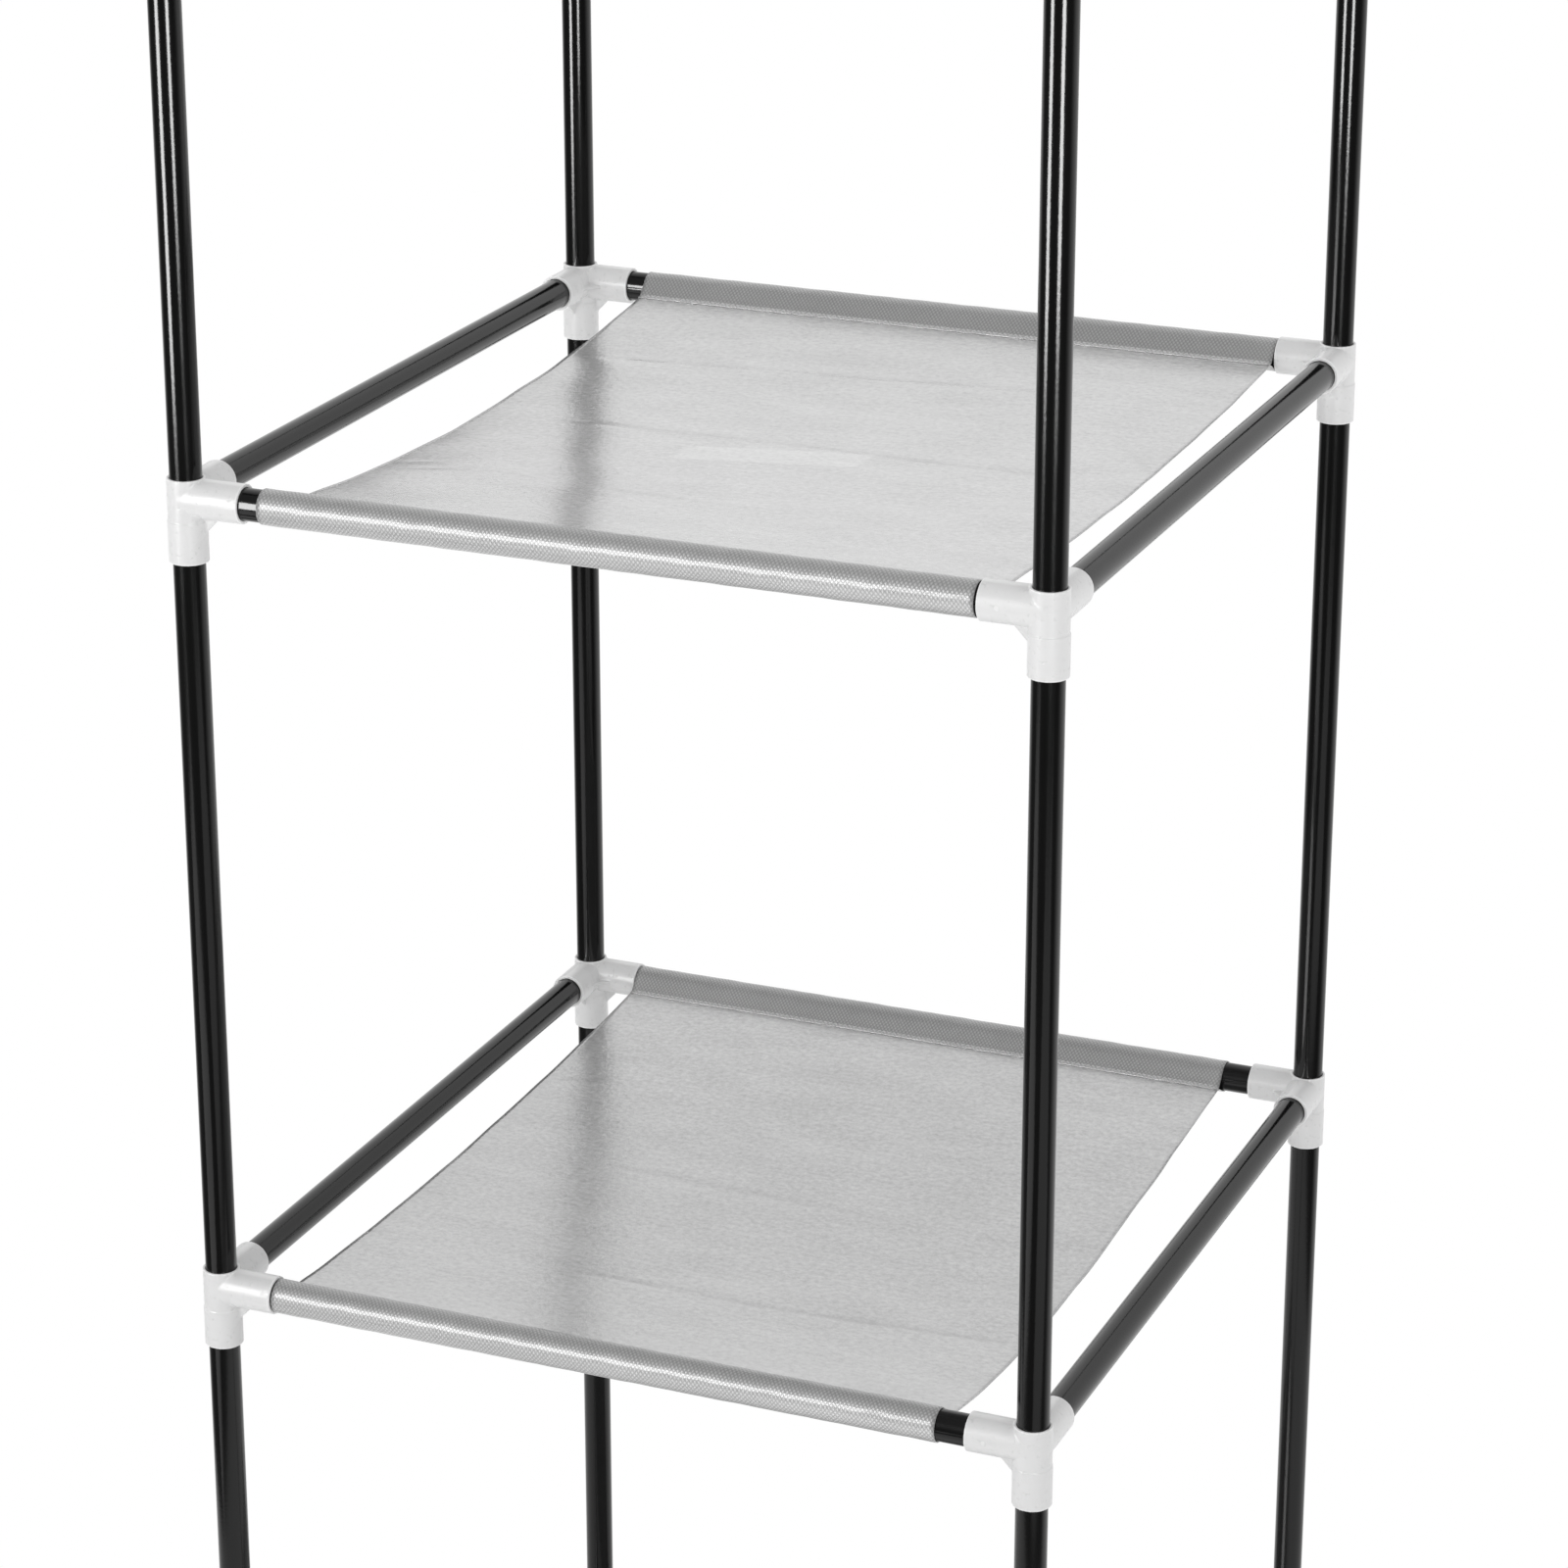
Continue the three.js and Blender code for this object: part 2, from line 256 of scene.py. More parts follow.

# %% [markdown]
# ## The finishes
#
# **Black tubes.** Thin steel is coated with black powder and baked. The coat is glossy, but it
# settles with the shallow waves of orange peel, which is why a lamp's reflection on it is a line
# with a slightly broken edge.
#
# ** White plastic.** The connectors are injection moulded. Their skin is smooth and a little cloudy.
# Its colour is painted whiter at the thin mouth rims, a painted glow for the light that shines
# through them. The place where the plastic was let into the mould leaves a small round mark on
# one arm.
#
# **Grey fabric.** Non-woven fabric is a mat of fine threads that rollers melt together. The
# smooth side shows long threads and cloudy patches. The embossed side shows the rollers' mesh of
# small diamonds, and each diamond glints on its own.

# %% Black powder coat
def powder_coat():
    coat = Finish("black powder coat", IOR=1.40)
    local = coat.stored("tube_place", "Vector")
    peel = coat.noise(local, 900, 2.0, 0.55, (1, 1, 0.55))
    waves = coat.noise(local, 260, 1.0, 0.5, (1, 1, 0.12))
    dust = coat.noise(local, 2600, 1.0)
    cloud = coat.noise(local, 60, 3.0, 0.6, (1, 1, 0.3))
    coat.use(
        Base_Color=coat.grey(0.002 + 0.002 * cloud),
        Roughness=0.10 + 0.05 * cloud + 0.03 * dust,
        Normal=coat.bump(peel * 0.5 + waves, 0.00004))
    return coat.material


# %% White moulded plastic
GATE_ALONG, GATE_RADIUS, GATE_EDGE = 0.022, 0.0011, 0.0004      # metres, on the side of one arm


def moulded_plastic():
    plastic = Finish("white moulded plastic", IOR=1.46, Specular_IOR_Level=0.16)
    local = plastic.stored("mould_place", "Vector")
    rim = plastic.stored("lit_mouth_rim")
    x, y, z = plastic.axes(local)
    along = y - GATE_ALONG
    from_gate = (along * along + z * z) ** 0.5 + (x * 4 + 0.03).clamped()
    gate = 1 - ((from_gate - GATE_RADIUS) / GATE_EDGE).clamped()
    cloud = plastic.noise(local, 90, 3.0, 0.55)
    grain = plastic.noise(local, 2200)
    specks = 1 - (plastic.noise(local, 420, 1.0) * 9 - 2.3).clamped()
    skin = 0.755 + 0.05 * cloud
    # Painted light: the colour is raised towards 0.96 at the mouth rims, a painted glow for light
    # shining through them.
    white = skin + rim * (0.96 - skin)
    plastic.use(
        Base_Color=plastic.grey(white + 0.05 * gate - 0.07 * specks),
        Roughness=0.24 + 0.08 * cloud - 0.06 * rim + 0.1 * specks,
        Normal=plastic.bump(grain * 0.3 + cloud * 2.0 - gate * 1.4 - specks * 0.8, 0.00012))
    return plastic.material


BLACK = powder_coat()
WHITE = moulded_plastic()
print(BLACK.name, "and", WHITE.name)

# %% [markdown]
# ## The tubes
#
# A tube is a plain rule: a thin rectangle, the wall, turned round an axis. It could be a lathed
# mesh, a bevelled curve or a boolean of two cylinders. Geometry Nodes fit best, because one tree
# with a length, a radius and a wall makes all 35 tubes. The tree rounds the rectangle's corners,
# sweeps it round a circle, stores each point's place along the tube for the finish, and only then
# lays the tube where the CAD has it.

# %% A tree that makes one tube
class Growth:
    """A Geometry Nodes tree with named inputs."""

    def __init__(self, name):
        self.tree = bpy.data.node_groups.new(name, "GeometryNodeTree")
        for way in ("INPUT", "OUTPUT"):
            self.tree.interface.new_socket(
                "Geometry", in_out=way, socket_type="NodeSocketGeometry")
        self.group_in = self.tree.nodes.new("NodeGroupInput")
        self.group_out = self.tree.nodes.new("NodeGroupOutput")

    def input(self, name, kind="Float"):
        self.tree.interface.new_socket(name, in_out="INPUT", socket_type="NodeSocket" + kind)
        return self.group_in.outputs[name]

    def node(self, kind, output=0, inputs=None, **settings):
        return add_node(self.tree, kind, inputs, **settings).outputs[output]

    math = Finish.math

    def end(self, geometry, finish):
        """Gives the geometry its finish and makes it the tree's result."""
        made = self.node("GeometryNodeSetMaterial", inputs={
            "Geometry": geometry, "Material": finish})
        self.tree.links.new(made, self.group_out.inputs[0])


def grown(name, growth, settings, start=None):
    """Runs a tree once with these inputs and keeps the result as a plain mesh object."""
    holder = linked(name + " holder", start or bpy.data.meshes.new(name + " start"))
    modifier = holder.modifiers.new("growth", "NODES")
    modifier.node_group = growth.tree
    for item in growth.tree.interface.items_tree:
        if item.name in settings:
            modifier[item.identifier] = settings[item.name]
    evaluated = holder.evaluated_get(bpy.context.evaluated_depsgraph_get())
    mesh = bpy.data.meshes.new_from_object(evaluated)
    holder.modifiers.remove(modifier)
    bpy.data.objects.remove(holder)
    mesh.name = name
    return linked(name, mesh)


def tube_growth():
    grow = Growth("one tube")
    length, radius, wall, chamfer = map(grow.input, ("Length", "Radius", "Wall", "Chamfer"))
    sides = grow.input("Sides", "Int")
    middle, turn = grow.input("Middle", "Vector"), grow.input("Turn", "Vector")
    finish = grow.input("Finish", "Material")

    wall_shape = grow.node("GeometryNodeCurvePrimitiveQuadrilateral",
                           inputs={"Width": wall, "Height": length}, mode="RECTANGLE")
    wall_shape = grow.node("GeometryNodeFilletCurve", inputs={
        "Curve": wall_shape, "Radius": chamfer, "Count": 1}, mode="POLY")
    ring_radius = grow.math("SUBTRACT", radius, grow.math("MULTIPLY", wall, 0.5))
    ring = grow.node("GeometryNodeCurvePrimitiveCircle",
                     inputs={"Resolution": sides, "Radius": ring_radius}, mode="RADIUS")
    ring = grow.node("GeometryNodeSetCurveNormal", inputs={"Curve": ring}, mode="Z_UP")
    skin = grow.node("GeometryNodeCurveToMesh", inputs={
        "Curve": ring, "Profile Curve": wall_shape})

    skin = grow.node("GeometryNodeSetShadeSmooth", inputs={
        "Geometry": skin, "Shade Smooth": True}, domain="FACE")
    angle = grow.node("GeometryNodeInputMeshEdgeAngle")
    sharp = grow.math("GREATER_THAN", angle, math.radians(25))
    skin = grow.node("GeometryNodeSetShadeSmooth", inputs={
        "Geometry": skin, "Selection": sharp, "Shade Smooth": False}, domain="EDGE")

    place = grow.node("GeometryNodeInputPosition")
    skin = grow.node("GeometryNodeStoreNamedAttribute", inputs={
        "Geometry": skin, "Name": "tube_place", "Value": place},
        data_type="FLOAT_VECTOR", domain="POINT")
    turn = grow.node("FunctionNodeEulerToRotation", inputs={"Euler": turn})
    skin = grow.node("GeometryNodeTransform", inputs={
        "Geometry": skin, "Translation": middle, "Rotation": turn})
    grow.end(grow.node("GeometryNodeRealizeInstances", inputs={"Geometry": skin}), finish)
    return grow


TUBE_TREE = tube_growth()
print("tube tree nodes:", len(TUBE_TREE.tree.nodes))

# %% Grow every tube in its place
TURNS = {0: (0, math.pi / 2, 0), 1: (-math.pi / 2, 0, 0), 2: (0, 0, 0)}
tube_nodes = [n for n in frame["nodes"] if n.startswith(("post_tier", "cross_rail", "side_rail"))]
tube_nodes.append("clothes_rail")
for node in tube_nodes:
    low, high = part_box(node)
    size = high - low
    axis = max(range(3), key=lambda a: size[a])
    tube = grown("tube_" + node, TUBE_TREE, {
        "Length": size[axis], "Radius": TUBE * MM, "Wall": TUBE_WALL * MM, "Chamfer": 0.18 * MM,
        "Sides": 64, "Middle": (low + high) / 2, "Turn": TURNS[axis], "Finish": BLACK})
    seat(tube, "frame", "black_tube", node)
print(len(tube_nodes), "tubes, the last one", round(size[axis], 4), "m long")

# %% [markdown]
# ## The moulded connectors
#
# A connector is several barrels melted into one: a hub round the post, a longer socket under it,
# two arms for the rails and thin webs in the corners. Booleans of cylinders would give knife
# edges, and bevelling those is fragile. A signed distance is steadier: one function says how far
# any point is outside the plastic, two shapes melt together by a smooth minimum, and the surface
# is where the distance is zero.

# %% Distances to simple solids
def rounded(side, ends, edge):
    """Distance to what lies inside both distances, with the edge between them rounded."""
    side, ends = side + edge, ends + edge
    outside = np.hypot(np.maximum(side, 0), np.maximum(ends, 0))
    return outside + np.minimum(np.maximum(side, ends), 0) - edge


def barrel(points, axis, radius, start, end, edge=0.42):
    """Distance to a round rod along one axis, with its rims rounded."""
    along = points[..., axis]
    across = np.hypot(*(points[..., a] for a in range(3) if a != axis))
    return rounded(across - radius, np.maximum(start - along, along - end), edge)


WEB_REACH, WEB_HALF, WEB_EDGE = 7.5, 0.8, 0.3


def web(points, first, second, direction, depth):
    """A thin plate that fills the corner between barrels along the first and second axis."""
    a = points[..., first]
    b = points[..., second] * direction
    reach = HUB + WEB_REACH
    slant = np.array([depth - SOCKET, reach - SOCKET])
    slant = slant / np.hypot(*slant)
    chamfer = slant[0] * (a - reach) + slant[1] * (b - SOCKET)
    flat = np.maximum.reduce([chamfer, a - reach, b - depth, -a, -b])
    return rounded(flat, np.abs(points[..., 3 - first - second]) - WEB_HALF, WEB_EDGE)


def melt(a, b, radius):
    """Joins two distances, with a fillet of about this radius."""
    near = np.maximum(radius - np.abs(a - b), 0) / radius
    return np.minimum(a, b) - near * near * radius / 4


def carve(a, b, radius=0.35):
    """Takes b out of a, with a rounded mouth."""
    return -melt(-a, b, radius)


# %% [markdown]
# The distance is sampled on a grid whose lines lie close together where the shape has detail, at
# the rims and the step, and far apart along the plain barrels. A surface net puts one point in
# each cell that the surface crosses, and then each point slides along the distance's slope until
# it lies on the surface, so the walls come out round and smooth.

# %% A net over a distance
def gathered(*runs):
    """Grid lines: single places, lists of places, and (from, to, step) runs."""
    lines = []
    for run in runs:
        if isinstance(run, tuple):
            start, end, step = run
            lines.append(np.linspace(start, end, max(2, round((end - start) / step) + 1)))
        else:
            lines.append(np.atleast_1d(run))
    return np.unique(np.round(np.concatenate(lines), 4))


NEAR_RIM = 1.3        # where the close lines at a rim begin


def mouth(rim, outwards):
    """Grid lines that step closely over a rim."""
    return (rim + np.array([-NEAR_RIM, -0.8, -0.42, -0.12, 0.3]) * outwards).tolist()


def slope(distance, points, step=1e-3):
    away = [distance(points + np.eye(3)[a] * step) - distance(points - np.eye(3)[a] * step)
            for a in range(3)]
    return np.stack(away, -1) / (2 * step)


def surface_net(distance, lines):
    """Points, four-sided faces and normals of the surface where the distance is zero."""
    grid = np.stack(np.meshgrid(*lines, indexing="ij"), axis=-1)
    field = distance(grid)
    cells = np.array(field.shape) - 1
    total, count, rings = np.zeros((*cells, 3)), np.zeros(cells), []
    for axis in range(3):
        others = [a for a in range(3) if a != axis]
        start, end = [slice(None)] * 3, [slice(None)] * 3
        start[axis], end[axis] = slice(None, -1), slice(1, None)
        here, there = field[tuple(start)], field[tuple(end)]
        crossed = np.argwhere((here < 0) != (there < 0))
        inner = (crossed[:, others] > 0) & (crossed[:, others] < cells[others])
        crossed = crossed[inner.all(1)]
        at = tuple(crossed.T)
        share = (here[at] / (here[at] - there[at]))[:, None]
        from_, to = grid[tuple(start)][at], grid[tuple(end)][at]
        ring = []
        for a, b in ((-1, -1), (0, -1), (0, 0), (-1, 0)):
            cell = crossed.copy()
            cell[:, others] += (a, b)
            np.add.at(total, tuple(cell.T), from_ + share * (to - from_))
            np.add.at(count, tuple(cell.T), 1)
            ring.append(cell)
        ring = np.stack(ring, 1)
        turned = (here[at] < 0) != (axis == 1)
        ring[~turned] = ring[~turned][:, ::-1]
        rings.append(ring)
    used = count > 0
    number = np.full(cells, -1)
    number[used] = np.arange(used.sum())
    points = total[used] / count[used][:, None]
    faces = np.concatenate([number[tuple(np.moveaxis(ring, -1, 0))] for ring in rings])
    for _ in range(4):
        uphill = slope(distance, points)
        steepness = np.maximum((uphill * uphill).sum(-1), 0.25)
        points = points - (distance(points) / steepness)[:, None] * uphill
    normals = slope(distance, points)
    return points, faces, normals / np.maximum(np.linalg.norm(normals, axis=1), 1e-6)[:, None]


# %% The five shapes of connector
PAST = 3.0            # a bore is cut this far past its mouth
LAP = 4.0             # how far the hub runs down inside the socket
FILLET = 0.6          # between two barrels
CAP, CAP_SLOPE = 2.4, 0.75      # a top connector's closed end: its rise and its bevel
FLARE_OUT, FLARE_HIGH, FLARE_MELT = 3.0, 4.0, 4.5
ARM_BORES = [(axis, ARM_STOP, ARM + PAST) for axis in (0, 1)]
HUB_BORE = (2, STOP + HALF_STOP, RIM + PAST)
SOCKET_BORE = (2, SOCKET_RIM - PAST, STOP - HALF_STOP)


def bored(body, points, bores):
    """Takes the tubes' holes out of a body; a bore is an axis, a start and an end."""
    for axis, start, end in bores:
        body = carve(body, barrel(points, axis, SNUG, start, end, 0.1))
    return body


def both_ends(axis):
    """The two bores of a straight joiner."""
    return [(axis, HALF_STOP, HALF_JOINER + PAST), (axis, -HALF_JOINER - PAST, -HALF_STOP)]


def arms(points, *axes):
    """Arms along the given axes; each widens a little from its root."""
    made = None
    for axis in axes:
        radius = np.interp(points[..., axis], [0, ARM_STOP], [HUB, SOCKET])
        arm = barrel(points, axis, radius, 0, ARM)
        made = arm if made is None else melt(made, arm, FILLET)
    return made


def hub(points, top=RIM):
    return barrel(points, 2, HUB, STOP - LAP, top)


def column(points, upper, lower_rim=SOCKET_RIM):
    """The hub's barrel melted into the wider socket under it."""
    return melt(upper, barrel(points, 2, SOCKET, lower_rim, STOP, 0.3), FILLET)


def corner(points, body, bores):
    """Two arms and three webs are melted onto a column, and the bores are cut last."""
    body = melt(body, arms(points, 0, 1), 0.4)
    webs = [web(points, axis, 2, -1, SOCKET + WEB_REACH) for axis in (0, 1)]
    webs.append(web(points, 0, 1, 1, HUB + WEB_REACH))
    body = melt(body, np.minimum.reduce(webs), 0.5)
    return bored(body, points, ARM_BORES + bores)


def four_way(points):
    return corner(points, column(points, hub(points)), [HUB_BORE, SOCKET_BORE])


def top_corner(points):
    slant = np.hypot(points[..., 0], points[..., 1]) - HUB + (points[..., 2] - RIM) * CAP_SLOPE
    closed = np.maximum(hub(points, RIM + CAP), slant / math.hypot(1, CAP_SLOPE))
    return corner(points, column(points, closed), [SOCKET_BORE])


def foot(points):
    floor = -LEVELS["base"]
    disc = barrel(points, 2, SOCKET + FLARE_OUT, floor, floor + FLARE_HIGH, 0.9)
    standing = melt(column(points, hub(points), floor + FLARE_HIGH / 2), disc, FLARE_MELT)
    return corner(points, np.maximum(standing, floor - points[..., 2]), [HUB_BORE])


def tee(points):
    body = melt(barrel(points, 1, HUB, -HALF_JOINER, HALF_JOINER), arms(points, 0), FILLET)
    return bored(body, points, [ARM_BORES[0], *both_ends(1)])


def coupler(points):
    return bored(barrel(points, 2, SOCKET, -HALF_JOINER, HALF_JOINER), points, both_ends(2))


# %% Grids and mouths for each shape
FINE, COARSE = 0.72, 2.2
WIDE = SOCKET + 0.9   # just outside a barrel
WEB = SOCKET + 8.4    # just outside a web
PAST_FLARE, OVER_FLARE = 14.5, -28.5


def to_rim(start, end, step=FINE, rim=ARM):
    """Lines that lie close from start to end, far apart after that, and close over the rim."""
    return gathered((start, end, step), (end, rim - NEAR_RIM, COARSE), mouth(rim, 1))


arm_lines, tee_lines = to_rim(-WIDE, WEB), to_rim(-WIDE, WIDE)
disc_lines = to_rim(-PAST_FLARE, WEB, 0.74)
hub_lines = gathered((-WEB, STOP - 0.8, FINE), [STOP - 0.3, STOP + 0.2],
                     (STOP + 0.8, RIM - NEAR_RIM, FINE), mouth(RIM, 1))
socket_lines = gathered(mouth(SOCKET_RIM, -1), (SOCKET_RIM + NEAR_RIM, -WEB, COARSE), hub_lines)
top_lines = gathered(socket_lines, (RIM + 0.6, RIM + 3.6, 0.5))
foot_lines = gathered((-LEVELS["base"] - 0.9, OVER_FLARE, 0.6), (OVER_FLARE, -WEB, COARSE),
                      hub_lines)
one_way = to_rim(-WIDE, WIDE, rim=HALF_JOINER)
both_ways = gathered(-one_way, one_way)
plain = HALF_JOINER - NEAR_RIM
straight = gathered(mouth(-HALF_JOINER, -1), (-plain, plain, COARSE), mouth(HALF_JOINER, 1))
across = gathered((-WIDE, WIDE, FINE))

SHAPES = {
    "connector": (four_way, (arm_lines, arm_lines, socket_lines),
                  [(0, ARM), (1, ARM), (2, RIM), (2, SOCKET_RIM)]),
    "connector_top": (top_corner, (arm_lines, arm_lines, top_lines),
                      [(0, ARM), (1, ARM), (2, SOCKET_RIM)]),
    "foot_connector": (foot, (disc_lines, disc_lines, foot_lines), [(0, ARM), (1, ARM), (2, RIM)]),
    "rail_tee": (tee, (tee_lines, both_ways, across),
                 [(0, ARM), (1, HALF_JOINER), (1, -HALF_JOINER)]),
    "post_coupler": (coupler, (across, across, straight), [(2, HALF_JOINER), (2, -HALF_JOINER)]),
}
nets = {}
for name, (distance, lines, mouths) in SHAPES.items():
    points, faces, normals = surface_net(distance, lines)
    # The rim mask also carries painted light: the plastic's finish colours the rims whiter.
    rims = [np.clip(1.4 - np.abs(points[:, a] - place) / 0.5, 0, 1) for a, place in mouths]
    nets[name] = points, faces, normals, np.maximum.reduce(rims)
    print(name, "points", len(points), "faces", len(faces))


# %% Place the connectors at the corners
QUARTER_TURN = np.array([[0, -1, 0], [1, 0, 0], [0, 0, 1]])


def moulded(node, shape, centre, quarter_turns):
    """A connector of this shape, turned and set in the place of its CAD node."""
    points, faces, normals, rim = nets[shape]
    turn = np.linalg.matrix_power(QUARTER_TURN, quarter_turns)
    piece = mesh_object("moulded_" + node, points @ turn.T + centre, faces, WHITE)
    store(piece.data, "mould_place", points * MM)
    store(piece.data, "lit_mouth_rim", rim)
    piece.data.normals_split_custom_set_from_vertices((normals @ turn.T).tolist())
    seat(piece, "frame", "white_plastic", node)
    return piece


def solid_volume(piece):
    """Volume in millilitres, below zero if the faces point inwards, and open edges."""
    work = bmesh.new()
    work.from_mesh(piece.data)
    open_edges = sum(not edge.is_manifold for edge in work.edges)
    volume = work.calc_volume(signed=True) * 1e6
    work.free()
    return round(volume, 3), open_edges


for corner_name, (side, depth, turns) in CORNERS.items():
    for prefix, shape, level in (
            ("foot_connector_", "foot_connector", "base"),
            ("connector_lower_", "connector", "lower"),
            ("connector_upper_", "connector", "upper"),
            ("post_coupler_", "post_coupler", "coupler"),
            ("connector_top_", "connector_top", "top")):
        centre = (side * POST_X, depth * POST_Y, LEVELS[level])
        piece = moulded(prefix + corner_name, shape, centre, turns)
        if corner_name == "front_left":
            print(shape, level, "volume and open edges:", solid_volume(piece))
for side_name, side, turns in (("left", -1, 0), ("right", 1, 2)):
    centre = (side * POST_X, 0, LEVELS["top"])
    piece = moulded("rail_tee_" + side_name, "rail_tee", centre, turns)
print("tee volume and open edges:", solid_volume(piece))

# %% [markdown]
# ## The fabric's two finishes
#
# The sheet is a coated non-woven: pale grey, with a silky gloss that is strong when it is seen
# from low down. Its smooth face is up on the shelf, and there the post behind it shows as a dark
# blurred streak. A cloth shader with only sheen would lose that streak, so the face has a shiny
# skin over a grey body, and long fibres roughen it. The back, which ends up outside on the
# sleeves, is pressed with a mesh of diamonds about 2 mm wide, and each one catches the light alone.
# Both read "cloth_place", the place on the flat sheet before it was hung.

# %% Smooth face of the fabric
def smooth_face():
    cloth = Finish("grey fabric, smooth face", IOR=1.5, Specular_IOR_Level=0.8,
                   Coat_Roughness=0.2, Coat_IOR=1.6)
    place = cloth.stored("cloth_place", "Vector")
    crease, pale, cut = map(cloth.stored, ("crease", "pale", "cut_edge_shade"))
    fibres = cloth.noise(place, 1500, 3.0, 0.62, (0.45, 1, 1))
    slanted = cloth.noise(place, 640, 2.0, 0.6, (0.8, 0.5, 1))
    mottle = cloth.noise(place, 330, 3.0, 0.6, (0.8, 1, 1))
    cloud = cloth.noise(place, 46, 4.0, 0.6, (0.4, 1, 1))
    bands = cloth.noise(place, 14, 2.0, 0.5, (0.35, 1, 1))
    grain = fibres * 0.6 + slanted * 0.4
    body = (0.56 + 0.30 * (grain - 0.5) + 0.44 * (mottle - 0.5) + 0.18 * (cloud - 0.5)
            + 0.06 * (bands - 0.5))
    cloth.use(
        # Painted shade: the colour darkens along the creases and a little near the side edges; the
        # pale patch lightens it.
        Base_Color=cloth.grey(body * (1 - 0.22 * crease) * (1 - 0.05 * cut) + 0.11 * pale),
        Metallic=0.30 + 0.10 * (mottle - 0.5),
        Roughness=0.20 + 0.10 * (grain - 0.5) + 0.12 * (mottle - 0.5),
        Coat_Weight=0.85 + 0.3 * (cloud - 0.5),
        Normal=cloth.bump(fibres * 0.4 + slanted + mottle * 2.4 + cloud * 0.8, 0.0001))
    return cloth.material


# %% Embossed back of the fabric
EMBOSS = 0.00215      # metres from one diamond to the next


def embossed_back():
    cloth = Finish("grey fabric, embossed back", IOR=1.45, Specular_IOR_Level=0.4,
                   Coat_Roughness=0.2, Coat_IOR=1.5)
    place = cloth.stored("cloth_place", "Vector")
    cut, pale = map(cloth.stored, ("cut_edge_shade", "pale"))
    wander = cloth.noise(place, 120)
    along, down, _ = cloth.axes(place)
    along = along + (wander - 0.5) * 0.0006
    rising = cloth.math("SINE", (along + down * 0.8) * (math.pi / EMBOSS))
    falling = cloth.math("SINE", (along - down * 0.8) * (math.pi / EMBOSS))
    diamond = cloth.math("ABSOLUTE", rising) * cloth.math("ABSOLUTE", falling)
    fibres = cloth.noise(place, 1500, 3.0, 0.62, (0.28, 1, 1))
    cloud = cloth.noise(place, 46, 4.0, 0.6, (0.4, 1, 1))
    # Painted light: pale makes the hem flap paler, as lit from above.
    # Painted shade: the grooves between the diamonds are coloured darker than the diamonds' tops.
    body = 0.30 + 0.23 * diamond + 0.13 * (fibres - 0.5) + 0.08 * (cloud - 0.5) + 0.16 * pale
    cloth.use(
        # Painted shade: darker near the side edges.
        Base_Color=cloth.grey(body * (1 - 0.08 * cut)),
        Metallic=0.34 + 0.06 * diamond,
        Roughness=0.52 - 0.06 * diamond + 0.08 * (fibres - 0.5),
        Coat_Weight=0.65 + 0.35 * diamond,
        Normal=cloth.bump(diamond + fibres * 0.3, 0.00012))
    return cloth.material


FACE, BACK = smooth_face(), embossed_back()
print(FACE.name, "and", BACK.name)

# %% [markdown]
# ## The slung shelves
#
# Each shelf is one rectangle of fabric. Its front and back ends are folded round the cross rails
# and sewn down, which makes two sleeves, and the middle hangs between them in a shallow sling.
# Cloth simulation could hang it, but it would have to find again a shape that the photograph
# already gives: how deep each side sags and where it creases. So the sheet's middle line is laid
# by rule, from hem to hem, and the creases are pressed in one by one. Then the sheet gets its
# thickness, its two finishes and a count of how far each point is along the flat cut.

# %% The shelves' numbers
SLEEVE = 8.6          # radius of the cloth's middle round the rail
CLOTH = 0.45          # thickness
BEND, SEAM, HEM = 12.0, 13.0, 15.2      # inboard of the rail's axis
PANEL = -2.5                      # height of the panel's middle at its seams
FLAP = PANEL + CLOTH + 0.06       # the hem lies on the panel
UPPER_TANGENT, LOWER_TANGENT = math.radians(40.5), math.radians(299.6)

SHELVES = {
    "shelf_base": dict(
        body="base_shelf", level="base", width=363.4, middle=0.0, sag=(9.5, 10), lean=(0, 0),
        seed=3, creases=[
            ([(-180, 60), (-60, 66), (70, 58), (180, 62)], 0.30, 2.6, 0.10),
            ([(-120, -70), (-20, -64), (80, -72)], 0.22, 2.4, -0.10),
            ([(60, 120), (110, 112), (170, 118)], 0.20, 2.2, 0.0)]),
    "shelf_lower": dict(
        body="lower_shelf", level="lower", width=360.4, middle=-7.5, sag=(7, 13.5), lean=(0.1, 0.5),
        seed=5, short=(0.5, 0), creases=[
            ([(-70, -124), (-49, -122), (29, -121), (86, -114), (167, -103)], 0.34, 2.4, 0.12),
            ([(-110, 3), (-97, 4), (24, 5), (60, 3)], 0.20, 2.6, -0.08),
            ([(-180, 91), (-157, 101)], 0.30, 2.4, 0.0),
            ([(-188, -126), (-176, -122)], 0.26, 2.2, 0.0)]),
    "shelf_upper": dict(
        body="upper_shelf", level="upper", width=365.4, middle=5.0, sag=(13.5, 7), lean=(0, 0),
        seed=8, short=(0, 1.1), patch=(-52, -11, 45, 6, 26), creases=[
            ([(-130, 12), (-103, 12), (-6, 9), (84, 2), (150, -2)], 0.34, 2.2, 0.10),
            ([(-170, 119), (-150, 120), (-59, 126), (32, 131), (90, 134)], 0.26, 2.6, -0.8),
            ([(-60, -103), (-30, -104), (30, -109)], 0.20, 2.4, -0.1),
            ([(-172, -94), (-155, -86)], 0.34, 2.4, 0.0),
            ([(-160, -104), (-140, -95)], 0.22, 2.4, 0.0),
            ([(158, 58), (175, 36), (190, 14)], 0.26, 2.6, 0.0)]),
}
print("shelves:", list(SHELVES))


